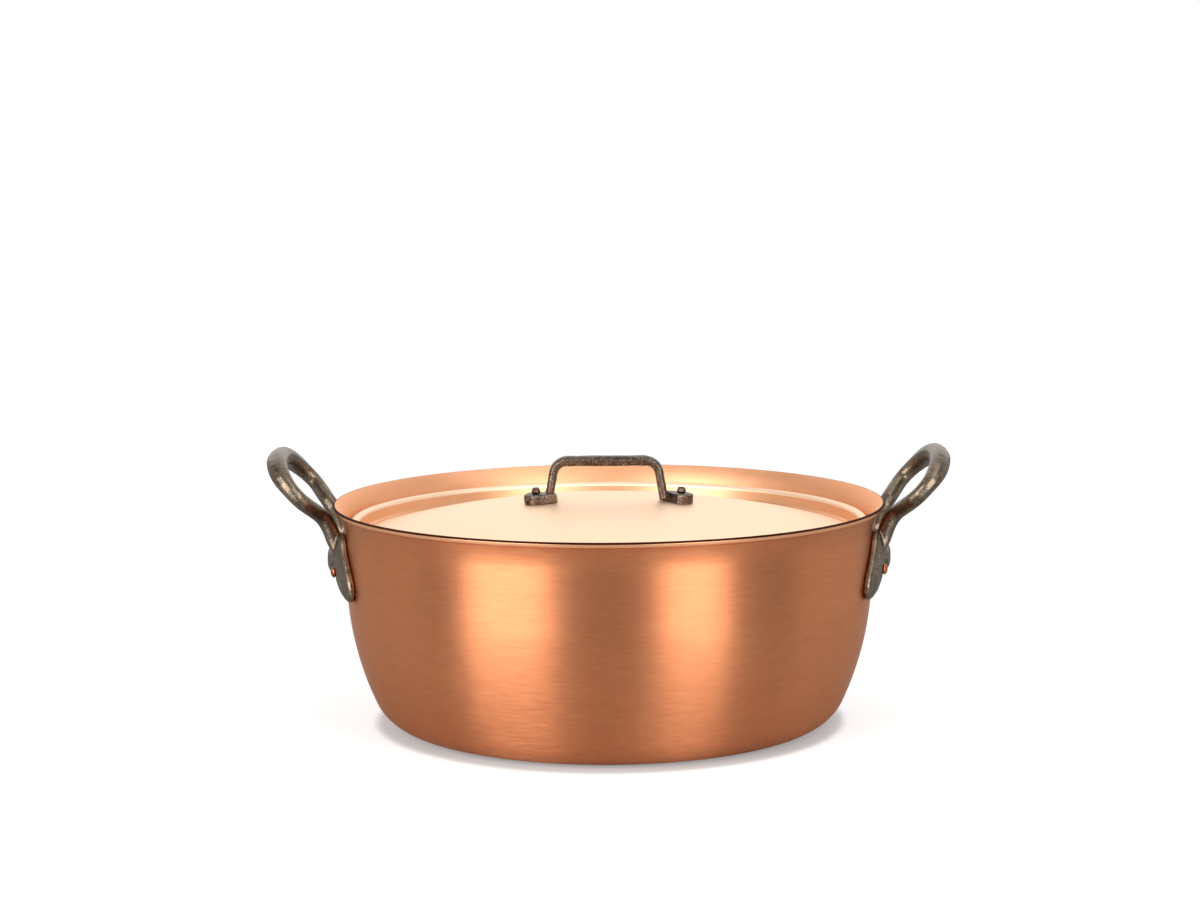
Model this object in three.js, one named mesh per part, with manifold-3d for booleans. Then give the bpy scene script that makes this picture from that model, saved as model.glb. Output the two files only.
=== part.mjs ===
// A lidded copper jam pan, in millimetres, +Z up, standing on its flat base at the origin.
// The two side handles lie on the X axis, and the lid's bow handle runs along X as well.
import * as THREE from 'three';
import { mergeVertices } from 'three/addons/utils/BufferGeometryUtils.js';
import Module from 'manifold-3d';

const wasm = await Module();
wasm.setup();

// Driving dimensions of the pan
const rimRadius = 180;
const panHeight = 145.3;
const panSheet = 2;
const cornerRadius = 28;
const cornerTurn = 65.5;
const wallBowRadius = 200;
const wallBowTurn = 22.5;
const flareRadius = 24;
const flareTurn = 44;

// Driving dimensions of the lid
const lidSheet = 1.5;
const lidSeatDepth = 14.7;
const lidCrown = 20.2;
const lidValleyRadius = 2.5;
const lidStepSlope = 84;
const lidStepLength = 5;
const lidRollRadius = 3;
const lidSkirtSlope = 50;
const lidSkirtLength = 3.4;

// Driving dimensions of one side handle
const leafWidth = 50;
const leafHeight = 42;
const leafThickness = 7.4;
const leafEdgeThickness = 4.2;
const padHalfWidth = 28;
const padHalfHeight = 11;
const padThickness = 11.4;
const padRise = 4;
const loopRootHalfWidth = 27;
const loopHalfWidth = 45;
const loopRootRise = 8;
const loopRootOffset = 2;
const loopRootRun = 9.7;
const loopRootSlope = 82;
const loopBendRadius = 36;
const loopSlope = 47;
const loopSlantLength = 27.4;
const loopGripBendRadius = 100;
const loopGripSlope = 56;
const loopSpreadStart = 26;
const loopEndLength = 26;
const loopRootLength = 13;
const loopRootHalfWide = 8.5;
const loopRootHalfThick = 1.5;
const loopLegThickness = 10.3;
const loopGripThickness = 13.4;
const loopGripStart = 50;

// Driving dimensions of the side handles' rivets
const rivetSpacing = 64;
const rivetDepth = 41.3;
const rivetShankRadius = 2.6;
const rivetHeadRadius = 3.8;
const rivetHeadHeight = 2.6;
const rivetInnerHeadRadius = 7;
const rivetInnerHeadHeight = 1.8;

// Driving dimensions of the lid handle and its rivets
const bowRivetSpacing = 94;
const bowHeight = 31;
const bowLegSpacing = 72;
const bowLegLean = 10;
const bowCornerRadius = 9.5;
const bowBarThickness = 6.8;
const bowBarDepth = 11;
const bowLegThickness = 5.8;
const bowLegDepth = 13;
const footLength = 22;
const footWidth = 19.5;
const footThickness = 6.3;
const footBevel = 1.2;
const bowRivetShankRadius = 2.2;
const bowRivetHeadRadius = 3;
const bowRivetHeadHeight = 3.6;
const bowRivetInnerHeadRadius = 5;
const bowRivetInnerHeadHeight = 1.4;

// Heights that follow the rim
const lidSeatHeight = panHeight - lidSeatDepth;
const rivetHeight = panHeight - rivetDepth;
const loopRootHeight = rivetHeight + loopRootRise;

// Clearance kept between neighbours, the overrun of every cut past the faces that it opens, and the
// distance under which two corners count as one
const clearance = 0.3;
const overrun = 4;
const cornerWeld = 0.0001;

// How square the bars' sections and the loop's end are: 2 is an ellipse, more is squarer
const loopSquareness = 2.2;
const bowSquareness = 2.8;
const loopEndSquareness = 2.3;

// The cast plates' outer faces: how much of the edge's thickness is upright, how far in the bevel
// above it ends, and how far the face has fallen half way to the edge
const plateUprightShare = 0.6;
const plateBevelShare = 0.93;
const plateFallShare = 0.35;
const leafFlatShare = 0.34;
const padFlatShare = 0.5;

// The outline of the near leaf, as shares of its width and height from its rivet: from the root of
// the leg, down the slanting outer edge, round the lobe and back under the rivet to the middle
const leafOutlineShares = [
  [0.1, 0.57], [0.24, 0.345], [0.4, 0.12], [0.53, -0.08], [0.56, -0.24], [0.5, -0.36],
  [0.4, -0.4], [0.26, -0.35], [0.08, -0.26], [-0.12, -0.19], [-0.32, -0.1], [-0.4, 0.07],
  [-0.32, 0.33], [-0.16, 0.57],
];

// The rivets' inner heads are bevelled, and the lid handle's outer heads taper, as shares of a
// head's radius and height
const innerHeadBevelShare = 0.86;
const taperedHeadShares = [[1, 0], [1, 0.3], [0.73, 0.92], [0.51, 1], [0, 1]];

// Counts of facets and steps
const roundFacets = 64;
const fineFacets = 128;
const rivetFacets = 12;
const barSides = 12;
const loopLegSteps = 11;
const loopEndSteps = 18;
const bowLegSteps = 3;
const bowBarSteps = 4;
const bowCornerSteps = 6;
const plateRays = 32;
const seatRounds = 20;

const radians = THREE.MathUtils.degToRad;

// A profile in the radius and height plane is walked as it would be drawn: from a start point on
// a heading in degrees, by straight runs and by arcs, whose turn is positive to the left.
// Each station keeps the normal on its right-hand side, so that a sheet can be laid off from it.
function walk(startRadius, startHeight, startHeading, moves) {
  let point = new THREE.Vector2(startRadius, startHeight);
  let heading = radians(startHeading);
  const station = () => ({
    point: point.clone(),
    normal: new THREE.Vector2(Math.sin(heading), -Math.cos(heading)),
  });
  const stations = [station()];
  for (const move of moves) {
    if (move.run !== undefined) {
      const ahead = new THREE.Vector2(Math.cos(heading), Math.sin(heading));
      point = point.clone().addScaledVector(ahead, move.run);
      stations.push(station());
      continue;
    }
    const side = Math.sign(move.turn);
    const left = new THREE.Vector2(-Math.sin(heading), Math.cos(heading));
    const centre = point.clone().addScaledVector(left, side * move.radius);
    const from = heading;
    for (let step = 1; step <= move.steps; step += 1) {
      heading = from + radians(move.turn) * step / move.steps;
      const right = new THREE.Vector2(Math.sin(heading), -Math.cos(heading));
      point = centre.clone().addScaledVector(right, side * move.radius);
      stations.push(station());
    }
  }
  return stations;
}

function laidOff(stations, distance) {
  return stations.map((station) => station.point.clone().addScaledVector(station.normal, distance));
}

function lastPoint(stations) {
  return stations[stations.length - 1].point;
}

// The station of a rising profile at a given height, between its two neighbours.
function stationAt(stations, height) {
  const after = stations.findIndex((station) => station.point.y >= height);
  const upper = stations[after];
  const lower = stations[after - 1];
  const share = (height - lower.point.y) / (upper.point.y - lower.point.y);
  return {
    point: lower.point.clone().lerp(upper.point, share),
    normal: lower.normal.clone().lerp(upper.normal, share).normalize(),
  };
}

function revolve(points, facets) {
  const onAxis = points.map((point) => new THREE.Vector2(Math.max(point.x, 0), point.y));
  return new THREE.LatheGeometry(onAxis, facets).rotateX(Math.PI / 2);
}

function solid(geometry) {
  const bare = geometry.clone();
  bare.deleteAttribute('normal');
  bare.deleteAttribute('uv');
  const merged = mergeVertices(bare, cornerWeld);
  const corners = merged.getIndex().array;
  const kept = [];
  for (let i = 0; i < corners.length; i += 3) {
    const [a, b, c] = [corners[i], corners[i + 1], corners[i + 2]];
    if (a !== b && b !== c && c !== a) kept.push(a, b, c);
  }
  return new wasm.Manifold(new wasm.Mesh({
    numProp: 3,
    vertProperties: new Float32Array(merged.getAttribute('position').array),
    triVerts: new Uint32Array(kept),
  }));
}

function geometryOf(manifold) {
  const mesh = manifold.getMesh();
  const geometry = new THREE.BufferGeometry();
  geometry.setAttribute('position', new THREE.BufferAttribute(new Float32Array(mesh.vertProperties), 3));
  geometry.setIndex(new THREE.BufferAttribute(new Uint32Array(mesh.triVerts), 1));
  geometry.computeVertexNormals();
  return geometry;
}

// A closed skin over a row of rings with the same number of points, with a fan at each end.
function loft(rings) {
  const count = rings[0].length;
  const positions = rings.flat().flatMap((point) => point.toArray());
  const index = [];
  for (let r = 0; r + 1 < rings.length; r += 1) {
    for (let i = 0; i < count; i += 1) {
      const j = (i + 1) % count;
      const a = r * count + i;
      const b = r * count + j;
      const c = (r + 1) * count + j;
      const d = (r + 1) * count + i;
      index.push(a, b, c, a, c, d);
    }
  }
  for (const end of [0, rings.length - 1]) {
    const middle = rings[end].reduce((sum, point) => sum.add(point), new THREE.Vector3()).divideScalar(count);
    const hub = positions.length / 3;
    positions.push(...middle.toArray());
    for (let i = 0; i < count; i += 1) {
      const here = end * count + i;
      const next = end * count + (i + 1) % count;
      if (end === 0) index.push(hub, next, here);
      else index.push(hub, here, next);
    }
  }
  const geometry = new THREE.BufferGeometry();
  geometry.setAttribute('position', new THREE.BufferAttribute(new Float32Array(positions), 3));
  geometry.setIndex(index);
  return geometry;
}

// A sine or a cosine made squarer, for ovals that fill more of their corners.
function squarer(value, squareness) {
  return Math.sign(value) * Math.abs(value) ** (2 / squareness);
}

// One round section of a bar: an ellipse or a rounded oblong across the bar's own two directions.
function section(centre, wide, thick, halfWide, halfThick, squareness) {
  const ring = [];
  for (let i = 0; i < barSides; i += 1) {
    const angle = Math.PI * (2 * i + 1) / barSides;
    const across = squarer(Math.cos(angle), squareness) * halfWide;
    const out = squarer(Math.sin(angle), squareness) * halfThick;
    ring.push(centre.clone().addScaledVector(wide, across).addScaledVector(thick, out));
  }
  return ring;
}

function smooth(share) {
  const inside = THREE.MathUtils.clamp(share, 0, 1);
  return inside * inside * (3 - 2 * inside);
}

// The pan: a flat base, a round corner, a bowed wall, a short straight and a flared mouth.
// The base radius and the straight are what the rim's radius and height leave over.
function panProfile() {
  const moves = (baseRadius, straight) => [
    { run: baseRadius },
    { radius: cornerRadius, turn: cornerTurn, steps: 5 },
    { radius: wallBowRadius, turn: wallBowTurn, steps: 4 },
    { run: straight },
    { radius: flareRadius, turn: -flareTurn, steps: 4 },
  ];
  const trial = lastPoint(walk(0, 0, 0, moves(0, 0)));
  const upperSlope = radians(cornerTurn + wallBowTurn);
  const lipRise = panSheet * Math.cos(upperSlope - radians(flareTurn));
  const straight = (panHeight - lipRise - trial.y) / Math.sin(upperSlope);
  const baseRadius = rimRadius - trial.x - straight * Math.cos(upperSlope);
  return walk(0, 0, 0, moves(baseRadius, straight));
}

const panOuter = panProfile();
const wallOuter = panOuter.slice(1);
const wallInner = wallOuter.map((station) => ({
  point: station.point.clone().addScaledVector(station.normal, -panSheet),
  normal: station.normal,
}));

// The lid: a shallow dome in a sunk panel, a steep step up, a rolled crest and a short skirt whose
// edge bears on the start of the flare. It is walked once from the axis and then set on its seat.
function lidProfile() {
  const seatRadius = stationAt(wallInner, lidSeatHeight).point.x - clearance;
  const rimMoves = (domeSlope) => [
    { radius: lidValleyRadius, turn: domeSlope + lidStepSlope, steps: 3 },
    { run: lidStepLength },
    { radius: lidRollRadius, turn: -(lidStepSlope + lidSkirtSlope), steps: 4 },
    { run: lidSkirtLength },
  ];
  let domeRadius = seatRadius;
  let domeSlope = 0;
  for (let round = 0; round < seatRounds; round += 1) {
    const sphere = (domeRadius ** 2 + lidCrown ** 2) / (2 * lidCrown);
    domeSlope = THREE.MathUtils.radToDeg(Math.asin(domeRadius / sphere));
    domeRadius = seatRadius - lastPoint(walk(0, 0, -domeSlope, rimMoves(domeSlope))).x;
  }
  const sphere = (domeRadius ** 2 + lidCrown ** 2) / (2 * lidCrown);
  const moves = [{ radius: sphere, turn: -domeSlope, steps: 4 }, ...rimMoves(domeSlope)];
  const drop = lastPoint(walk(0, 0, 0, moves)).y;
  return { stations: walk(0, lidSeatHeight - drop, 0, moves), sphere, crownHeight: lidSeatHeight - drop };
}

const lid = lidProfile();

// The lid's dome at a distance from the axis: the height of its upper face and its slope there.
function domeAt(distance) {
  const slope = Math.asin(distance / lid.sphere);
  return { height: lid.crownHeight - lid.sphere * (1 - Math.cos(slope)), slope };
}

// A point laid off from the pan's outer wall: around it by an arc length, up it and out from it.
function offWall(arc, height, distance) {
  const station = stationAt(wallOuter, height);
  const turn = arc / station.point.x;
  const radius = station.point.x + station.normal.x * distance;
  const level = station.point.y + station.normal.y * distance;
  return new THREE.Vector3(radius * Math.cos(turn), radius * Math.sin(turn), level);
}

// A cast plate that hugs the wall. Its outline is seen from a middle point. Its outer face is flat
// around the middle, falls in two slopes to the edge's thickness and ends in a bevelled edge.
function wallPlate(outline, middle, thickness, edgeThickness, flatShare) {
  const fallen = thickness + (edgeThickness - thickness) * plateFallShare;
  const steps = [
    { share: 1, distance: -overrun },
    { share: 1, distance: clearance + edgeThickness * plateUprightShare },
    { share: plateBevelShare, distance: clearance + edgeThickness },
    { share: (1 + flatShare) / 2, distance: clearance + fallen },
    { share: flatShare, distance: clearance + thickness },
  ];
  return loft(steps.map(({ share, distance }) => outline.map((point) => {
    const place = middle.clone().lerp(point, share);
    return offWall(place.x, place.y, distance);
  })));
}

function leaf(side) {
  const middle = new THREE.Vector2(side * rivetSpacing / 2, rivetHeight);
  const points = leafOutlineShares.map(([across, up]) => (
    new THREE.Vector3(middle.x + side * across * leafWidth, middle.y + up * leafHeight, 0)));
  const curve = new THREE.CatmullRomCurve3(points, true, 'centripetal');
  const outline = curve.getSpacedPoints(plateRays).slice(0, plateRays);
  if (side > 0) outline.reverse();
  return wallPlate(outline, middle, leafThickness, leafEdgeThickness, leafFlatShare);
}

// The thick pad between the leaves, an oval across the middle of the plate.
function pad() {
  const middle = new THREE.Vector2(0, rivetHeight + padRise);
  const outline = [];
  for (let i = 0; i < plateRays; i += 1) {
    const angle = 2 * Math.PI * i / plateRays;
    const spoke = new THREE.Vector2(padHalfWidth * Math.cos(angle), padHalfHeight * Math.sin(angle));
    outline.push(middle.clone().add(spoke));
  }
  return wallPlate(outline, middle, padThickness, leafThickness, padFlatShare);
}

// The point and heading at a distance along a walked profile.
function atDistance(stations, distance) {
  let left = distance;
  for (let i = 1; i < stations.length; i += 1) {
    const chord = stations[i].point.distanceTo(stations[i - 1].point);
    if (left <= chord || i === stations.length - 1) {
      const share = Math.min(left / chord, 1);
      return {
        point: stations[i - 1].point.clone().lerp(stations[i].point, share),
        normal: stations[i - 1].normal.clone().lerp(stations[i].normal, share).normalize(),
      };
    }
    left -= chord;
  }
  return undefined;
}

function walkedLength(stations) {
  return stations.slice(1).reduce((sum, station, i) => sum + station.point.distanceTo(stations[i].point), 0);
}

// The loop: its side view rises from the plate, bends outward over the lip, runs on at a slant and
// turns up a little at the grip. In plan its legs part on the way up and meet in a rounded end.
function loop() {
  const rootWall = stationAt(wallOuter, loopRootHeight).point.x;
  const rootRadius = rootWall + clearance + leafThickness - loopRootOffset;
  const rootDepth = Math.sqrt(rootRadius ** 2 - loopRootHalfWidth ** 2);
  const sideView = walk(rootDepth, loopRootHeight, loopRootSlope, [
    { run: loopRootRun },
    { radius: loopBendRadius, turn: loopSlope - loopRootSlope, steps: 8 },
    { run: loopSlantLength },
    { radius: loopGripBendRadius, turn: loopGripSlope - loopSlope, steps: 6 },
  ]);
  const whole = walkedLength(sideView);
  const shoulder = whole - loopEndLength;
  const legRoute = (side) => Array.from({ length: loopLegSteps }, (_, i) => {
    const distance = shoulder * i / loopLegSteps;
    const spread = smooth((distance - loopSpreadStart) / (shoulder - loopSpreadStart));
    return { distance, across: side * (loopRootHalfWidth + (loopHalfWidth - loopRootHalfWidth) * spread) };
  });
  const endRoute = Array.from({ length: loopEndSteps + 1 }, (_, i) => {
    const angle = Math.PI * i / loopEndSteps;
    return {
      distance: shoulder + loopEndLength * squarer(Math.sin(angle), loopEndSquareness),
      across: -loopHalfWidth * squarer(Math.cos(angle), loopEndSquareness),
    };
  });
  const route = [...legRoute(-1), ...endRoute, ...legRoute(1).reverse()];
  const centres = route.map(({ distance, across }) => {
    const { point } = atDistance(sideView, distance);
    return new THREE.Vector3(point.x, across, point.y);
  });
  const rings = route.map(({ distance }, i) => {
    const { normal } = atDistance(sideView, distance);
    const face = new THREE.Vector3(normal.x, 0, normal.y);
    const ahead = centres[Math.min(i + 1, centres.length - 1)];
    const behind = centres[Math.max(i - 1, 0)];
    const along = ahead.clone().sub(behind).normalize();
    const wide = new THREE.Vector3().crossVectors(face, along).normalize();
    const thick = new THREE.Vector3().crossVectors(along, wide).normalize();
    const rooted = smooth(distance / loopRootLength);
    const gripped = smooth((distance - loopGripStart) / (whole - loopGripStart));
    const half = (loopLegThickness + (loopGripThickness - loopLegThickness) * gripped) / 2;
    const halfWide = loopRootHalfWide + (half - loopRootHalfWide) * rooted;
    const halfThick = loopRootHalfThick + (half - loopRootHalfThick) * rooted;
    return section(centres[i], wide, thick, halfWide, halfThick, loopSquareness);
  });
  return loft(rings);
}

// A rivet along the Z axis of its own frame, whose zero is the face under its formed head.
function rivetProfile(shank, innerHead, innerHeight, grip, headPoints) {
  return [
    [0, -grip - innerHeight],
    [innerHead * innerHeadBevelShare, -grip - innerHeight],
    [innerHead, -grip - innerHeight / 2],
    [innerHead, -grip],
    [shank, -grip],
    [shank, 0],
    ...headPoints,
  ].map(([radius, height]) => new THREE.Vector2(radius, height));
}

// The turned frame of a rivet, from the point under its head and the way that the head faces.
function facing(point, direction) {
  const turn = new THREE.Quaternion().setFromUnitVectors(new THREE.Vector3(0, 0, 1), direction);
  return new THREE.Matrix4().compose(point, turn, new THREE.Vector3(1, 1, 1));
}

// A drill that passes through everything that a rivet holds.
function drill(radius, grip, frame) {
  const length = grip + 2 * overrun;
  const bit = new THREE.CylinderGeometry(radius, radius, length, rivetFacets);
  bit.rotateX(Math.PI / 2).translate(0, 0, overrun - length / 2);
  return solid(bit.applyMatrix4(frame));
}

// The four rivets of the side handles, each square to the wall at its place.
const innerSag = rivetInnerHeadRadius ** 2 / (2 * (rimRadius - panSheet));
const sideGrip = panSheet + leafThickness + 3 * clearance + innerSag;
const sideSeat = leafThickness + 2 * clearance;

function sideRivetFrame(side, along) {
  const arc = along * rivetSpacing / 2;
  const seat = offWall(arc, rivetHeight, sideSeat);
  const direction = seat.clone().sub(offWall(arc, rivetHeight, 0)).normalize();
  const frame = facing(seat, direction);
  return side > 0 ? frame : new THREE.Matrix4().makeRotationZ(Math.PI).multiply(frame);
}

// The button head is half of an ellipse.
const buttonHead = [0, 30, 60, 90].map((angle) => [
  rivetHeadRadius * Math.cos(radians(angle)),
  rivetHeadHeight * Math.sin(radians(angle)),
]);
const sideRivetGeometry = revolve(
  rivetProfile(rivetShankRadius, rivetInnerHeadRadius, rivetInnerHeadHeight, sideGrip, buttonHead),
  rivetFacets,
);

// The lid handle's feet and rivets are square to the dome at the rivets.
const footPlace = domeAt(bowRivetSpacing / 2);
const bowSag = bowRivetInnerHeadRadius ** 2 / (2 * lid.sphere);
const bowGrip = footThickness + lidSheet + 3 * clearance + bowSag;

function footFrame(side) {
  const direction = new THREE.Vector3(side * Math.sin(footPlace.slope), 0, Math.cos(footPlace.slope));
  const foot = new THREE.Vector3(side * bowRivetSpacing / 2, 0, footPlace.height);
  return facing(foot.addScaledVector(direction, clearance), direction);
}

function bowRivetFrame(side) {
  const rise = new THREE.Matrix4().makeTranslation(0, 0, footThickness + clearance);
  return footFrame(side).multiply(rise);
}

const taperedHead = taperedHeadShares.map(([across, up]) => [
  across * bowRivetHeadRadius,
  up * bowRivetHeadHeight,
]);
const bowRivetGeometry = revolve(
  rivetProfile(bowRivetShankRadius, bowRivetInnerHeadRadius, bowRivetInnerHeadHeight, bowGrip, taperedHead),
  rivetFacets,
);

// One foot of the lid handle: round at its outer end, square where the leg stands, with soft edges.
function foot(side) {
  const inner = bowRivetSpacing / 2 - bowLegSpacing / 2 + bowLegThickness / 2;
  const outer = footLength - inner;
  const round = footWidth / 2 - footBevel;
  const neck = bowLegDepth / 2;
  const shape = new THREE.Shape();
  shape.moveTo(-inner + footBevel, -neck);
  shape.absarc(outer - footBevel - round, 0, round, -Math.PI / 2, Math.PI / 2, false);
  shape.lineTo(-inner + footBevel, neck);
  shape.closePath();
  const plate = new THREE.ExtrudeGeometry(shape, {
    depth: footThickness + overrun - footBevel,
    bevelEnabled: true,
    bevelThickness: footBevel,
    bevelSize: footBevel,
    bevelSegments: 2,
    curveSegments: 10,
  });
  plate.translate(0, 0, -overrun);
  if (side < 0) plate.rotateZ(Math.PI);
  return solid(plate.applyMatrix4(footFrame(side)));
}

// The bow itself: two leaning legs, two round corners and a flat bar, walked in the XZ plane.
function bow() {
  const base = footPlace.height + clearance + footThickness / 2;
  const barHeight = lid.crownHeight + bowHeight - bowBarThickness / 2;
  const heading = radians(90 + bowLegLean);
  const cornerRise = bowCornerRadius * Math.cos(radians(bowLegLean));
  const leg = (barHeight - base - cornerRise) / Math.sin(heading);
  const cornerRun = bowCornerRadius * (1 - Math.sin(radians(bowLegLean)));
  const bar = bowLegSpacing - 2 * (leg * Math.sin(radians(bowLegLean)) + cornerRun);
  const legMoves = Array(bowLegSteps).fill({ run: leg / bowLegSteps });
  const barMoves = Array(bowBarSteps).fill({ run: bar / bowBarSteps });
  const corner = { radius: bowCornerRadius, turn: 90 - bowLegLean, steps: bowCornerSteps };
  const moves = [...legMoves, corner, ...barMoves, corner, ...legMoves];
  const stations = walk(bowLegSpacing / 2, base, 90 + bowLegLean, moves);
  const rings = stations.map(({ point, normal }) => {
    const risen = smooth((point.y - base) / (barHeight - base));
    const upright = Math.abs(normal.x);
    const halfThick = (bowBarThickness + (bowLegThickness - bowBarThickness) * upright) / 2;
    const halfDeep = (bowLegDepth + (bowBarDepth - bowLegDepth) * risen) / 2;
    const centre = new THREE.Vector3(point.x, 0, point.y);
    const across = new THREE.Vector3(0, -1, 0);
    const out = new THREE.Vector3(normal.x, 0, normal.y);
    return section(centre, across, out, halfDeep, halfThick, bowSquareness);
  });
  return loft(rings);
}

function material(colour, roughness) {
  return new THREE.MeshStandardMaterial({ color: colour, roughness, metalness: 1 });
}

const panCopper = material(0xc27645, 0.38);
const lidCopper = material(0xd08a58, 0.34);
const castIron = material(0x5c5048, 0.55);
const rivetCopper = material(0xc8794f, 0.45);
const rivetIron = material(0x5f4d40, 0.55);

function piece(name, geometry, finish) {
  const mesh = new THREE.Mesh(geometry, finish);
  mesh.name = name;
  return mesh;
}

const sides = { left: -1, right: 1 };
const places = { front: -1, rear: 1 };

// The pan's sheet, drilled for its rivets
function panShell() {
  const outer = laidOff(panOuter, 0);
  const inner = laidOff(panOuter, -panSheet).reverse();
  let shell = solid(revolve([...outer, ...inner], roundFacets));
  for (const side of Object.values(sides)) {
    for (const along of Object.values(places)) {
      shell = shell.subtract(drill(rivetShankRadius + clearance, sideGrip, sideRivetFrame(side, along)));
    }
  }
  return geometryOf(shell);
}

// The right-hand side handle; the left one is the same casting turned half round.
function sideHandle(side) {
  let casting = solid(loop()).add(solid(pad()));
  for (const along of Object.values(places)) casting = casting.add(solid(leaf(along)));
  const room = laidOff(panOuter, clearance);
  room[0].x = 0;
  const lip = room[room.length - 1];
  const column = revolve([...room, new THREE.Vector2(0, lip.y)], fineFacets);
  casting = casting.subtract(solid(column));
  for (const along of Object.values(places)) {
    casting = casting.subtract(drill(rivetShankRadius + clearance, sideGrip, sideRivetFrame(1, along)));
  }
  const geometry = geometryOf(casting);
  return side > 0 ? geometry : geometry.rotateZ(Math.PI);
}

// The lid's sheet, drilled for its rivets
function lidDisc() {
  const under = laidOff(lid.stations, lidSheet);
  const top = laidOff(lid.stations, 0).reverse();
  let disc = solid(revolve([...under, ...top], roundFacets));
  for (const side of Object.values(sides)) {
    disc = disc.subtract(drill(bowRivetShankRadius + clearance, bowGrip, bowRivetFrame(side)));
  }
  return geometryOf(disc);
}

// The lid handle, whose feet are fitted to the dome
function lidHandle() {
  let casting = solid(bow());
  for (const side of Object.values(sides)) casting = casting.add(foot(side));
  const dome = laidOff(lid.stations.slice(0, 5), -clearance);
  dome[0].x = 0;
  const depth = dome[dome.length - 1].y - overrun;
  const floor = [new THREE.Vector2(0, depth), new THREE.Vector2(dome[dome.length - 1].x, depth)];
  casting = casting.subtract(solid(revolve([...floor, ...dome.reverse()], fineFacets)));
  for (const side of Object.values(sides)) {
    casting = casting.subtract(drill(bowRivetShankRadius + clearance, bowGrip, bowRivetFrame(side)));
  }
  return geometryOf(casting);
}

const jamPan = new THREE.Group();
jamPan.add(piece('pan_shell', panShell(), panCopper));
for (const [name, side] of Object.entries(sides)) {
  jamPan.add(piece(`${name}_side_handle`, sideHandle(side), castIron));
  for (const [place, along] of Object.entries(places)) {
    const rivet = piece(`${name}_rivet_${place}`, sideRivetGeometry, rivetCopper);
    rivet.applyMatrix4(sideRivetFrame(side, side * along));
    jamPan.add(rivet);
  }
}

const lidGroup = new THREE.Group();
lidGroup.add(piece('lid_disc', lidDisc(), lidCopper));
lidGroup.add(piece('lid_handle', lidHandle(), castIron));
for (const [name, side] of Object.entries(sides)) {
  const rivet = piece(`lid_rivet_${name}`, bowRivetGeometry, rivetIron);
  rivet.applyMatrix4(bowRivetFrame(side));
  lidGroup.add(rivet);
}
jamPan.add(lidGroup);

export default jamPan;
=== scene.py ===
"""A lidded copper jam pan in a white studio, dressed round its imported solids. Metres, +Z up."""
import math

import bmesh
import bpy
from mathutils import Matrix, Vector, noise


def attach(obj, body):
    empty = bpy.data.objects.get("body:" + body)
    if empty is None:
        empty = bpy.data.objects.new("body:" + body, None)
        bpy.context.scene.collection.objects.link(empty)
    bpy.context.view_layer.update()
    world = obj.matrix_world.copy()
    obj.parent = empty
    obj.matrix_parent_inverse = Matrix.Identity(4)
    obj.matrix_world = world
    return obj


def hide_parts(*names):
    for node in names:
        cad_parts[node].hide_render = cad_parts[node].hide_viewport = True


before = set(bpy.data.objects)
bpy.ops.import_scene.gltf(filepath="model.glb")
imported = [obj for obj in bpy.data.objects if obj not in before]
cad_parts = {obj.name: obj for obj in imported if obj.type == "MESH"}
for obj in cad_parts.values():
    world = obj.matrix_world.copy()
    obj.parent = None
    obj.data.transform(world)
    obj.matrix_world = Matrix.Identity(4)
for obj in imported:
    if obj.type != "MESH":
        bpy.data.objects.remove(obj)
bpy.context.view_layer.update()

MM = 0.001

# The gap between seated neighbours, in millimetres as all sizes here but those of the castings
CLEARANCE = 0.3

# The pan's sheet: sizes, turns in degrees, and the steps of each arc of its profile
RIM_RADIUS, PAN_HEIGHT, PAN_SHEET = 180, 145.3, 2
CORNER_RADIUS, CORNER_TURN, CORNER_STEPS = 28, 65.5, 14
BOW_RADIUS, BOW_TURN, BOW_STEPS = 200, 22.5, 22
FLARE_RADIUS, FLARE_TURN, FLARE_STEPS = 24, 44, 12
PAN_LONGEST_STEP = 6

# The lid's sheet
LID_SEAT, LID_CROWN, LID_SHEET = 130.6, 20.2, 1.5
DOME_STEPS = 28
VALLEY_RADIUS, VALLEY_STEPS = 2.5, 8
STEP_SLOPE, STEP_LENGTH = 84, 5
CREST_RADIUS, CREST_STEPS = 3, 12
SKIRT_SLOPE, SKIRT_LENGTH = 50, 3.4
LID_EDGE_STEPS, LID_LONGEST_STEP = 4, 8
SEAT_TRIALS = 20

# The pan's lip: a bead on the outer face, painted paler as a highlight, and a sheared edge between
# two rolled corners, painted dark as shade
BEAD_WIDTH, BEAD_RISE, BEAD_STEPS = 3.2, 0.6, 5
OUTER_ROLL, INNER_ROLL, ROLL_STEPS, HIGHLIGHT_ROLL_STEPS = 0.5, 0.3, 6, 3

# How far hand spinning left the wall out of round, between which heights, and how broad its waves
WOBBLE, WOBBLE_BOTTOM, WOBBLE_TOP, WOBBLE_FADE = 0.22, 12, 120, 25
WOBBLE_ROUND, WOBBLE_PITCH = 1.7, 60

# Turning: sides of a ring, and the radius under which a point lies on the axis
TURNED_SIDES, ON_AXIS = 256, 1e-6


# ---------------------------------------------------------------- profiles, in millimetres
def walk(radius, height, heading, moves):
    """Stations of a profile drawn by straight runs (length,) and arcs (radius, turn, steps). Each
    is a point and the direction to the right of the way."""
    point = Vector((radius, height))
    angle = math.radians(heading)
    stations = [(point.copy(), Vector((math.sin(angle), -math.cos(angle))))]
    for move in moves:
        if len(move) == 1:
            point = point + Vector((math.cos(angle), math.sin(angle))) * move[0]
            stations.append((point.copy(), Vector((math.sin(angle), -math.cos(angle)))))
            continue
        bend, turn, steps = move
        side = math.copysign(1, turn)
        centre = point + Vector((-math.sin(angle), math.cos(angle))) * side * bend
        start = angle
        for step in range(1, steps + 1):
            angle = start + math.radians(turn) * step / steps
            right = Vector((math.sin(angle), -math.cos(angle)))
            point = centre + right * side * bend
            stations.append((point.copy(), right))
    return stations


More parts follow.
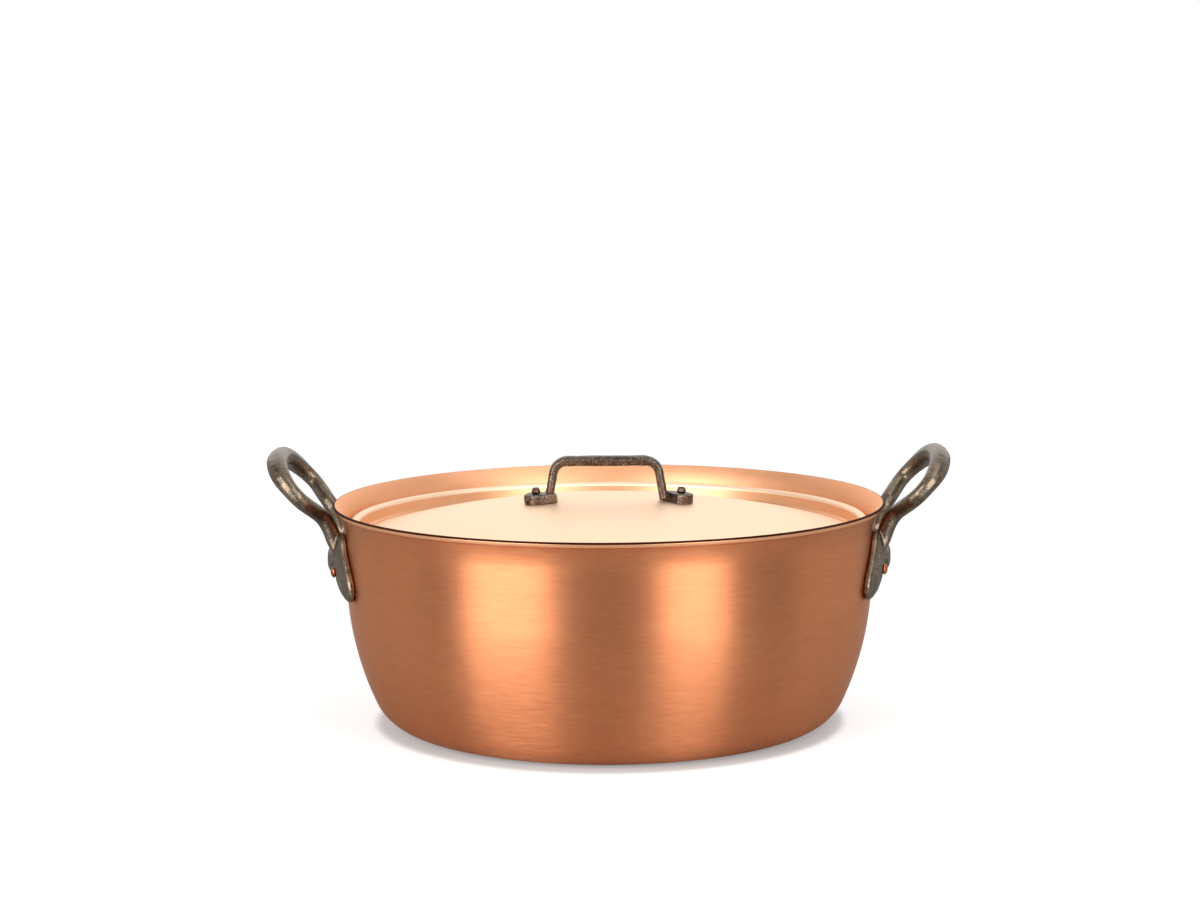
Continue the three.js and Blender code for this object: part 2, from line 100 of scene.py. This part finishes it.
def laid_off(stations, distance):
    """A profile at a distance to the right of its stations."""
    return [point + normal * distance for point, normal in stations]


def split(points, longest):
    """The same profile with no step longer than a given length."""
    out = [points[0]]
    for a, b in zip(points, points[1:]):
        count = max(1, math.ceil((b - a).length / longest))
        out += [a.lerp(b, i / count) for i in range(1, count + 1)]
    return out


def rolled_corner(face, towards, radius):
    """Ends a face's profile short of its corner, and rounds the corner towards another point."""
    corner = face[-1]
    run = (corner - face[-2]).normalized()
    turned = (towards - corner).normalized()
    start = corner - run * radius
    kept = [point for point in face if (point - corner).length > radius] + [start]
    centre = start + turned * radius
    angles = [math.pi / 2 * step / ROLL_STEPS for step in range(1, ROLL_STEPS + 1)]
    return kept, [centre + radius * (run * math.sin(angle) - turned * math.cos(angle))
                  for angle in angles]


def pan_stations():
    """The pan's outer face: flat base, round corner, bowed wall, short straight, flared mouth."""
    def moves(base, straight):
        return [(base,), (CORNER_RADIUS, CORNER_TURN, CORNER_STEPS),
                (BOW_RADIUS, BOW_TURN, BOW_STEPS), (straight,),
                (FLARE_RADIUS, -FLARE_TURN, FLARE_STEPS)]
    trial = walk(0, 0, 0, moves(0, 0))[-1][0]
    slope = math.radians(CORNER_TURN + BOW_TURN)
    lip = PAN_SHEET * math.cos(slope - math.radians(FLARE_TURN))
    straight = (PAN_HEIGHT - lip - trial.y) / math.sin(slope)
    base = RIM_RADIUS - trial.x - straight * math.cos(slope)
    return walk(0, 0, 0, moves(base, straight))


def radius_at(points, height):
    """The radius of a rising profile at a height."""
    for low, high in zip(points, points[1:]):
        if low.y <= height <= high.y:
            return low.x + (high.x - low.x) * (height - low.y) / (high.y - low.y)
    return points[-1].x


def lid_stations(pan_inner):
    """The lid's upper face: dome, valley, steep step, rolled crest and short skirt. The dome's
    radius is found by trials that bring the skirt's end to its seat in the pan."""
    seat = radius_at(pan_inner[1:], LID_SEAT) - CLEARANCE

    def rim(slope):
        return [(VALLEY_RADIUS, slope + STEP_SLOPE, VALLEY_STEPS), (STEP_LENGTH,),
                (CREST_RADIUS, -(STEP_SLOPE + SKIRT_SLOPE), CREST_STEPS), (SKIRT_LENGTH,)]

    def dome(edge):
        return (edge ** 2 + LID_CROWN ** 2) / (2 * LID_CROWN)
    edge, slope = seat, 0.0
    for _ in range(SEAT_TRIALS):
        slope = math.degrees(math.asin(edge / dome(edge)))
        edge = seat - walk(0, 0, -slope, rim(slope))[-1][0].x
    moves = [(dome(edge), -slope, DOME_STEPS)] + rim(slope)
    drop = walk(0, 0, 0, moves)[-1][0].y
    return walk(0, LID_SEAT - drop, 0, moves)


# ---------------------------------------------------------------- meshes
def finish_mesh(name, bm, materials):
    """A smooth-shaded object of the scene from a bmesh."""
    mesh = bpy.data.meshes.new(name)
    bm.to_mesh(mesh)
    bm.free()
    for polygon in mesh.polygons:
        polygon.use_smooth = True
    piece = bpy.data.objects.new(name, mesh)
    bpy.context.scene.collection.objects.link(piece)
    for material in materials:
        mesh.materials.append(material)
    return piece


def lathe(name, profile, materials, zones, wobble=None):
    """Turns a profile in millimetres round Z, with one zone, or material, for each of its steps.
    Points on the axis become one vertex, and each vertex keeps its length along the profile,
    which the brushed materials follow."""
    bm = bmesh.new()
    along_layer = bm.verts.layers.float.new("along")
    rings, along = [], 0.0
    for i, point in enumerate(profile):
        if i:
            along += (point - profile[i - 1]).length
        if point.x < ON_AXIS:
            ring = [bm.verts.new((0, 0, point.y * MM))]
        else:
            ring = []
            for j in range(TURNED_SIDES):
                turn = 2 * math.pi * j / TURNED_SIDES
                push = wobble(point, turn) if wobble else 0.0
                radius = (point.x + push) * MM
                ring.append(bm.verts.new((radius * math.cos(turn), radius * math.sin(turn),
                                          point.y * MM)))
        for vert in ring:
            vert[along_layer] = along * MM
        rings.append(ring)
    for low, high, zone in zip(rings[:-1], rings[1:], zones, strict=True):
        for j in range(TURNED_SIDES):
            k = (j + 1) % TURNED_SIDES
            if len(low) == 1:
                corners = [low[0], high[k], high[j]]
            elif len(high) == 1:
                corners = [low[j], low[k], high[0]]
            else:
                corners = [low[j], low[k], high[k], high[j]]
            bm.faces.new(corners).material_index = zone
    bmesh.ops.recalc_face_normals(bm, faces=bm.faces)
    return finish_mesh(name, bm, materials)


def casting(name, node, material, voxel, passes, lumps):
    """A casting or a hammered rivet: the solid's form on a fine mesh, its arrises melted round by
    passes of smoothing, and a slightly lumpy skin. Each lump is its pitch and its size."""
    piece = bpy.data.objects.new(name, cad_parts[node].data.copy())
    bpy.context.scene.collection.objects.link(piece)
    piece.data.materials.clear()
    remesh = piece.modifiers.new("remesh", "REMESH")
    remesh.mode = "VOXEL"
    remesh.voxel_size = voxel
    soften = piece.modifiers.new("soften", "SMOOTH")
    soften.factor = 0.5
    soften.iterations = passes
    graph = bpy.context.evaluated_depsgraph_get()
    melted = bpy.data.meshes.new_from_object(piece.evaluated_get(graph))
    bm = bmesh.new()
    bm.from_mesh(melted)
    bm.normal_update()
    places = []
    for vert in bm.verts:
        push = sum(size * noise.noise(vert.co / pitch) for pitch, size in lumps)
        places.append(vert.co + vert.normal * push)
    for vert, place in zip(bm.verts, places):
        vert.co = place
    bpy.data.objects.remove(piece)
    bpy.data.meshes.remove(melted)
    return finish_mesh(name, bm, [material])


# ---------------------------------------------------------------- materials
class Graph:
    """A small helper that adds and links shader nodes."""
    MIX_SHARE, MIX_A, MIX_B, MIX_RESULT = 0, 6, 7, 2

    def __init__(self, name):
        self.material = bpy.data.materials.new(name)
        self.material.use_nodes = True
        self.tree = self.material.node_tree
        self.shader = self.tree.nodes["Principled BSDF"]
        self.place = self.add("ShaderNodeTexCoord").outputs["Object"]

    def add(self, kind, **settings):
        node = self.tree.nodes.new(kind)
        for key, value in settings.items():
            setattr(node, key, value)
        return node

    def link(self, source, target):
        self.tree.links.new(source, target)

    def feed(self, target, value):
        """Links a socket to a target, or sets the target to a constant."""
        if isinstance(value, bpy.types.NodeSocket):
            self.link(value, target)
        else:
            target.default_value = value

    def shade(self, **values):
        """Sets or links sockets of the shader, with _ for each space of a socket's name."""
        for name, value in values.items():
            self.feed(self.shader.inputs[name.replace("_", " ")], value)

    def math(self, operation, a, b=0.0, c=0.0, clamp=False):
        node = self.add("ShaderNodeMath", operation=operation, use_clamp=clamp)
        for socket, value in zip(node.inputs, (a, b, c)):
            self.feed(socket, value)
        return node.outputs[0]

    def swing(self, value, amount, base, clamp=False):
        """A base that swings by an amount while a value goes from 0 to 1, and rests at 0.5."""
        return self.math("MULTIPLY_ADD", self.math("SUBTRACT", value, 0.5), amount, base, clamp)

    def vector(self, operation, a, b=None):
        node = self.add("ShaderNodeVectorMath", operation=operation)
        self.feed(node.inputs[0], a)
        if b is not None:
            self.feed(node.inputs["Scale" if operation == "SCALE" else 1], b)
        return node.outputs["Value" if operation == "LENGTH" else "Vector"]

    def noise(self, vector, scale, detail=3.0, rough=0.55):
        node = self.add("ShaderNodeTexNoise")
        self.feed(node.inputs["Vector"], vector)
        node.inputs["Scale"].default_value = scale
        node.inputs["Detail"].default_value = detail
        node.inputs["Roughness"].default_value = rough
        return node.outputs["Fac"]

    def cells(self, feature, scale):
        node = self.add("ShaderNodeTexVoronoi", feature=feature)
        self.link(self.place, node.inputs["Vector"])
        node.inputs["Scale"].default_value = scale
        return node.outputs["Distance"]

    def ramp(self, value, low, high, to_low=0.0, to_high=1.0):
        node = self.add("ShaderNodeMapRange", clamp=True)
        node.interpolation_type = "SMOOTHSTEP"
        for socket, number in zip(node.inputs[:5], (value, low, high, to_low, to_high)):
            self.feed(socket, number)
        return node.outputs[0]

    def mix(self, share, a, b):
        node = self.add("ShaderNodeMix", data_type="RGBA")
        self.feed(node.inputs[self.MIX_SHARE], share)
        self.feed(node.inputs[self.MIX_A], a)
        self.feed(node.inputs[self.MIX_B], b)
        return node.outputs[self.MIX_RESULT]

    def bump(self, height, distance, strength=1.0, normal=None):
        node = self.add("ShaderNodeBump")
        node.inputs["Strength"].default_value = strength
        node.inputs["Distance"].default_value = distance
        self.feed(node.inputs["Height"], height)
        if normal is not None:
            self.feed(node.inputs["Normal"], normal)
        return node.outputs["Normal"]


def rgb(red, green, blue):
    """A colour given as on a screen, from 0 to 255, made linear."""
    def linear(value):
        value /= 255
        return value / 12.92 if value <= 0.04045 else ((value + 0.055) / 1.055) ** 2.4
    return (linear(red), linear(green), linear(blue), 1.0)


def brushed_copper(name, deep, light, roughness, anisotropy, streaks, glaze, lacquer=0.0,
                   metallic=0.87, ior=8.0):
    """Spun copper brushed round its axis: fine lines along the turning, soft broader bands and a
    faint cloudiness. What isn't metallic gives it a pale gloss, tinted by the glaze."""
    g = Graph(name)
    along = g.add("ShaderNodeAttribute", attribute_name="along").outputs["Fac"]
    round_way = g.vector("NORMALIZE", g.vector("MULTIPLY", g.place, (1, 1, 0)))

    def lines(around, across, detail):
        """Noise that changes slowly around the axis and fast along the profile."""
        axis = g.add("ShaderNodeCombineXYZ")
        g.link(g.math("MULTIPLY", along, across), axis.inputs["Z"])
        place = g.vector("ADD", g.vector("SCALE", round_way, around), axis.outputs[0])
        return g.noise(place, 1.0, detail)
    fine = lines(around=12.0, across=700.0, detail=3.0)
    scratch = lines(around=16.0, across=1100.0, detail=1.0)
    band = lines(around=3.0, across=130.0, detail=2.0)
    cloud = g.noise(g.place, 11.0)
    tone = g.swing(fine, 0.75 * streaks, 0.5)
    tone = g.swing(band, 0.25 * streaks, tone)
    tone = g.swing(cloud, 0.3, tone, clamp=True)
    nick = g.ramp(scratch, 0.71, 0.80, 0.0, 0.30 * streaks)
    normal = g.bump(fine, distance=0.00002 * streaks)
    g.shade(Base_Color=g.mix(nick, g.mix(tone, deep, light), light),
            Roughness=g.swing(cloud, 0.04, g.swing(fine, 0.12 * streaks, roughness)),
            Metallic=metallic, IOR=ior, Specular_Tint=glaze,
            Coat_Weight=lacquer, Coat_Roughness=0.42,
            Anisotropic=anisotropy, Anisotropic_Rotation=0.25,
            Tangent=g.add("ShaderNodeTangent", direction_type="RADIAL", axis="Z").outputs[0],
            Normal=g.bump(cloud, distance=0.0004, normal=normal))
    return g.material


def cast_iron(name, dark, mid, bright, polish, lumpy, grainy):
    """Raw iron: a brown-grey skin with sand grain, fine bright specks and worn high spots."""
    g = Graph(name)
    mottle = g.noise(g.place, 240.0, detail=4.0, rough=0.62)
    patch = g.noise(g.place, 42.0)
    grain = g.noise(g.place, 1300.0, rough=0.7)
    hollow = g.ramp(g.cells("F1", 700.0), 0.0, 0.42)
    tone = g.swing(mottle, 0.5, 0.5)
    tone = g.swing(patch, 0.5, tone)
    tone = g.swing(grain, 1.3, tone)
    high_spot = g.ramp(g.add("ShaderNodeNewGeometry").outputs["Pointiness"], 0.5, 0.56)
    worn = g.math("MULTIPLY", high_spot, g.ramp(grain, 0.40, 0.60))
    speck = g.ramp(grain, 0.58, 0.68, 0.0, 0.7)
    shiny = g.math("MAXIMUM", worn, speck)
    skin = g.mix(g.ramp(tone, 0.2, 0.8), dark, mid)
    normal = g.bump(grain, distance=0.0002, strength=grainy)
    normal = g.bump(hollow, distance=0.0001, strength=0.6, normal=normal)
    g.shade(Base_Color=g.mix(g.math("MULTIPLY", shiny, polish), skin, bright),
            Roughness=g.swing(grain, 0.25, g.math("MULTIPLY_ADD", shiny, -0.06, 0.37)),
            Metallic=1.0,
            Normal=g.bump(mottle, distance=lumpy, strength=0.5, normal=normal))
    return g.material


def hammered(name, dark, light, roughness):
    """A rivet head closed by hammer: small flats, a darker rim of grime and worn bright spots."""
    g = Graph(name)
    flats = g.cells("SMOOTH_F1", 330.0)
    blur = g.noise(g.place, 700.0)
    tone = g.math("MULTIPLY_ADD", flats, -0.7, g.math("ADD", blur, 0.2))
    normal = g.bump(flats, distance=0.0005, strength=0.5)
    g.shade(Base_Color=g.mix(g.ramp(tone, 0.15, 0.7), dark, light),
            Roughness=g.swing(blur, 0.25, roughness),
            Metallic=1.0,
            Normal=g.bump(blur, distance=0.0001, strength=0.6, normal=normal))
    return g.material


WALL = brushed_copper(
    "copper_wall", deep=rgb(196, 103, 53), light=rgb(220, 139, 84), roughness=0.41,
    anisotropy=0.9, streaks=1.3, glaze=rgb(252, 230, 208), lacquer=0.25)
# Paler copper for the inner wall: a lit copy of the wall's copper, painted light.
INSIDE_PAINTED_LIGHT = brushed_copper(
    "copper_inside_painted_light", deep=rgb(224, 148, 98), light=rgb(244, 184, 138), roughness=0.52,
    anisotropy=0.3, streaks=0.7, glaze=rgb(255, 240, 225))
# Near-black, barely metallic copper on the lip's cut edge: painted shade, the thin dark line along
# the lip.
EDGE_PAINTED_SHADE = brushed_copper(
    "copper_cut_edge_painted_shade", deep=rgb(34, 11, 3), light=rgb(58, 22, 9), roughness=0.6,
    anisotropy=0.3, streaks=0.5, glaze=rgb(40, 12, 6), metallic=0.1, ior=1.2)
# Pale copper on the lip's bead and the outer part of its roll: a painted highlight.
LIP_PAINTED_HIGHLIGHT = brushed_copper(
    "copper_lip_painted_highlight", deep=rgb(236, 158, 108), light=rgb(252, 194, 146), roughness=0.36,
    anisotropy=0.7, streaks=0.6, glaze=rgb(255, 235, 215))
# Pale cream copper for the lid: a lit copy of the pan's copper, painted light.
LID_PAINTED_LIGHT = brushed_copper(
    "copper_lid_painted_light", deep=rgb(242, 208, 176), light=rgb(252, 224, 194), roughness=0.52,
    anisotropy=0.1, streaks=0.6, glaze=rgb(255, 245, 235))
# Deeper copper for the lid's valley and step: painted shade in that recess.
LID_STEP_PAINTED_SHADE = brushed_copper(
    "copper_lid_step_painted_shade", deep=rgb(224, 158, 112), light=rgb(244, 192, 148), roughness=0.44,
    anisotropy=0.3, streaks=0.6, glaze=rgb(255, 240, 225))
IRON = cast_iron(
    "iron_cast", dark=rgb(74, 62, 50), mid=rgb(134, 119, 102), bright=rgb(206, 194, 178),
    polish=0.5, lumpy=0.00004, grainy=0.4)
BOW_IRON = cast_iron(
    "iron_cast_lid", dark=rgb(48, 36, 28), mid=rgb(108, 90, 76), bright=rgb(228, 216, 202),
    polish=0.8, lumpy=0.0005, grainy=0.7)
RIVET = hammered(
    "copper_rivet", dark=rgb(150, 78, 52), light=rgb(236, 160, 118), roughness=0.33)
BUTTON = hammered(
    "iron_rivet", dark=rgb(58, 44, 37), light=rgb(124, 104, 90), roughness=0.45)


# ---------------------------------------------------------------- the pan and the lid
def pan_wobble(point, turn):
    """Hand spinning leaves the wall a fraction of a millimetre out of round, never at its ends."""
    rise = min(1.0, max(0.0, (point.y - WOBBLE_BOTTOM) / WOBBLE_FADE))
    fall = min(1.0, max(0.0, (WOBBLE_TOP - point.y) / WOBBLE_FADE))
    where = Vector((math.cos(turn) * WOBBLE_ROUND, math.sin(turn) * WOBBLE_ROUND,
                    point.y / WOBBLE_PITCH))
    return WOBBLE * rise * fall * noise.noise(where)


def copper_pan():
    """The shell: up the outer face, over the lip and down the inner face."""
    stations = pan_stations()
    outer = split([point for point, _ in stations], PAN_LONGEST_STEP)
    inner = split(laid_off(stations, -PAN_SHEET), PAN_LONGEST_STEP)
    foot = outer[-1] + (outer[-2] - outer[-1]).normalized() * BEAD_WIDTH
    outer, roll = rolled_corner(outer, inner[-1], OUTER_ROLL)
    width = outer[-1] - foot
    swell = Vector((width.y, -width.x)).normalized() * BEAD_RISE
    bead = [foot + width * share + swell * 4 * share * (1 - share)
            for share in (step / BEAD_STEPS for step in range(BEAD_STEPS + 1))]
    outer = [point for point in outer if point.y < foot.y]
    inner, turn_in = rolled_corner(inner, roll[-1], INNER_ROLL)
    wall, inside, edge, lip = range(4)
    # The bead and the first steps of the roll take the painted highlight; the rest of the roll and
    # the turn-in take the painted shade.
    zones = ([wall] * len(outer) + [lip] * (len(bead) + HIGHLIGHT_ROLL_STEPS)
             + [edge] * (len(roll) - HIGHLIGHT_ROLL_STEPS + len(turn_in))
             + [inside] * (len(inner) - 1))
    return lathe("pan_copper_shell", outer + bead + roll + turn_in[::-1] + inner[::-1],
                 [WALL, INSIDE_PAINTED_LIGHT, EDGE_PAINTED_SHADE, LIP_PAINTED_HIGHLIGHT], zones, pan_wobble)


def copper_lid_painted_light():
    """The disc: out along the underside, round the edge and back along the top. The valley and
    the step, on both faces, take a deeper copper as painted shade; the rest takes a pale copper as
    painted light."""
    stations = lid_stations(laid_off(pan_stations(), -PAN_SHEET))
    top = [point for point, _ in stations]
    under = laid_off(stations, LID_SHEET)
    edge = [under[-1].lerp(top[-1], step / LID_EDGE_STEPS) for step in range(1, LID_EDGE_STEPS)]
    profile = split(under, LID_LONGEST_STEP) + edge + split(top, LID_LONGEST_STEP)[::-1]
    margin = 0.1
    start = top[DOME_STEPS].x - margin
    end = top[DOME_STEPS + VALLEY_STEPS + 1].x + margin
    # Zone 1, the valley and the step, takes the painted shade; zone 0, the rest, the painted
    # light.
    zones = [int(min(a.x, b.x) > start and max(a.x, b.x) < end)
             for a, b in zip(profile, profile[1:])]
    return lathe("lid_copper_disc", profile, [LID_PAINTED_LIGHT, LID_STEP_PAINTED_SHADE], zones)


# Skins of the castings and rivets, in metres: voxel, smoothing passes, and lumps' pitch and size
SIDE_CAST = {"voxel": 0.0007, "passes": 8, "lumps": [(0.016, 0.0002)]}
BOW_CAST = {"voxel": 0.0004, "passes": 18, "lumps": [(0.006, 0.00025), (0.0025, 0.0001)]}
RIVET_CAST = {"voxel": 0.0003, "passes": 3, "lumps": [(0.004, 0.0001)]}

pan = copper_pan()
lid = copper_lid_painted_light()
left = casting("left_handle_casting", "left_side_handle", IRON, **SIDE_CAST)
right = casting("right_handle_casting", "right_side_handle", IRON, **SIDE_CAST)
bow = casting("lid_handle_casting", "lid_handle", BOW_IRON, **BOW_CAST)

for piece, node, body, slot in (
        (pan, "pan_shell", "pan", "pan_copper"),
        (left, "left_side_handle", "pan", "cast_iron"),
        (right, "right_side_handle", "pan", "cast_iron"),
        (lid, "lid_disc", "lid", "lid_copper"),
        (bow, "lid_handle", "lid", "cast_iron")):
    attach(piece, body)
    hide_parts(node)

for node in [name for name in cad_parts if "rivet" in name]:
    on_lid = node.startswith("lid")
    rivet = casting(node + "_worn", node, BUTTON if on_lid else RIVET, **RIVET_CAST)
    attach(rivet, "lid" if on_lid else "pan")
    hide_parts(node)


# ---------------------------------------------------------------- the studio
# The floor: its shade, as seen and as mirrored, its lift near the pan, the distances over which
# the lift rises to 1, and the reach of the painted contact shadow and the share of lift that it
# leaves
FLOOR_CORNERS = [(-6, -5, 0), (6, -5, 0), (6, 4, 0), (-6, 4, 0)]
FLOOR_SHADE, FLOOR_SHADE_IN_GLOSS, FLOOR_LIFT = 0.36, 0.40, 0.67
FLOOR_FADE_START, FLOOR_FADE_END = 1.3, 2.4
CONTACT_REACH, CONTACT_LIFT = 0.014, 0.4
WORLD_GLOW = 0.05

# name: azimuth from the camera's side (right is positive), distance, height, width, tall, radiance
SOFTBOXES = {
    "left_softbox": (-42.6, 1.7, 0.65, 1.16, 1.7, 6.9),
    "right_softbox": (35.2, 1.7, 0.65, 0.86, 1.7, 6.6),
    "far_left_softbox": (-110, 1.8, 0.6, 1.9, 1.6, 0.62),
    "far_right_softbox": (110, 1.8, 0.6, 1.9, 1.6, 0.78),
    "back_screen": (180, 2.6, 1.6, 4.5, 3.2, 1.25),
    "top_softbox": (180, 0.3, 2.2, 2.2, 1.6, 1.1),
    "high_right_softbox": (72, 0.95, 1.9, 1.2, 1.2, 1.9),
}
LIGHTS_AIM = Vector((0, 0, 0.08))

# The camera, solved from the photograph: its lens in pixels of the 1200-pixel frame, its place,
# and its turn about the upright, its dip and its roll in degrees
FRAME_WIDTH, LENS_PIXELS, SENSOR_WIDTH, CLIP_END = 1200, 2672, 36, 50
CAMERA_PLACE = (0, -1.730, 0.3937)
CAMERA_TURN, CAMERA_DIP, CAMERA_ROLL = 0.181, 7.113, -0.359


def white_floor(name):
    """A plain matt surface. For the camera it is lifted to white by a glow, less so right under
    the pan, where the missing glow paints a contact shadow, and fully far away, and the metal
    mirrors it a little differently."""
    g = Graph(name)
    path = g.add("ShaderNodeLightPath")
    matt = g.add("ShaderNodeBsdfDiffuse")
    pale, mirrored = ((shade, shade, shade, 1) for shade in (FLOOR_SHADE, FLOOR_SHADE_IN_GLOSS))
    g.link(g.mix(path.outputs["Is Glossy Ray"], pale, mirrored), matt.inputs["Color"])
    # The shade under the pan is partly real shadow on the matt part and partly painted, where
    # occlusion cuts the glow.
    near = g.add("ShaderNodeAmbientOcclusion", samples=16)
    near.inputs["Distance"].default_value = CONTACT_REACH
    painted_contact_shadow = g.ramp(near.outputs["AO"], 0.45, 0.9, CONTACT_LIFT, 1.0)
    away = g.ramp(g.vector("LENGTH", g.place), FLOOR_FADE_START, FLOOR_FADE_END, FLOOR_LIFT, 1.0)
    glow = g.add("ShaderNodeEmission")
    g.link(g.math("MULTIPLY", path.outputs["Is Camera Ray"], g.math("MULTIPLY", painted_contact_shadow, away)),
           glow.inputs["Strength"])
    both = g.add("ShaderNodeAddShader")
    g.link(matt.outputs[0], both.inputs[0])
    g.link(glow.outputs[0], both.inputs[1])
    g.link(both.outputs[0], g.tree.nodes["Material Output"].inputs["Surface"])
    g.tree.nodes.remove(g.shader)
    return g.material


def softbox(name, azimuth, distance, height, width, tall, radiance):
    """A plain white area light that faces the pan and that the camera doesn't see."""
    turn = math.radians(azimuth)
    place = Vector((distance * math.sin(turn), -distance * math.cos(turn), height))
    light = bpy.data.lights.new(name, "AREA")
    light.shape = "RECTANGLE"
    light.size = width
    light.size_y = tall
    light.energy = radiance * math.pi * width * tall
    lamp = bpy.data.objects.new(name, light)
    lamp.location = place
    lamp.rotation_euler = (LIGHTS_AIM - place).to_track_quat("-Z", "Y").to_euler()
    bpy.context.scene.collection.objects.link(lamp)
    lamp.visible_camera = False


def white_world():
    """White for the camera, and almost dark for the light that falls on the metal."""
    world = bpy.data.worlds.new("studio")
    bpy.context.scene.world = world
    world.use_nodes = True
    tree = world.node_tree
    background = tree.nodes["Background"]
    background.inputs["Color"].default_value = (1, 1, 1, 1)
    path = tree.nodes.new("ShaderNodeLightPath")
    amount = tree.nodes.new("ShaderNodeMapRange")
    tree.links.new(path.outputs["Is Camera Ray"], amount.inputs["Value"])
    amount.inputs["To Min"].default_value = WORLD_GLOW
    amount.inputs["To Max"].default_value = 1.0
    tree.links.new(amount.outputs[0], background.inputs["Strength"])


floor_mesh = bmesh.new()
floor_mesh.faces.new([floor_mesh.verts.new(corner) for corner in FLOOR_CORNERS])
floor = finish_mesh("floor", floor_mesh, [white_floor("studio_floor")])
white_world()
for box_name, numbers in SOFTBOXES.items():
    softbox(box_name, *numbers)

camera_data = bpy.data.cameras.new("camera")
camera_data.sensor_width = SENSOR_WIDTH
camera_data.lens = LENS_PIXELS / FRAME_WIDTH * SENSOR_WIDTH
camera_data.clip_end = CLIP_END
camera = bpy.data.objects.new("camera", camera_data)
camera.matrix_world = (
    Matrix.Translation(CAMERA_PLACE)
    @ Matrix.Rotation(math.radians(CAMERA_TURN), 4, "Z")
    @ Matrix.Rotation(math.radians(90 - CAMERA_DIP), 4, "X")
    @ Matrix.Rotation(math.radians(CAMERA_ROLL), 4, "Z"))
bpy.context.scene.collection.objects.link(camera)
bpy.context.scene.camera = camera
bpy.context.scene.view_settings.view_transform = "Standard"
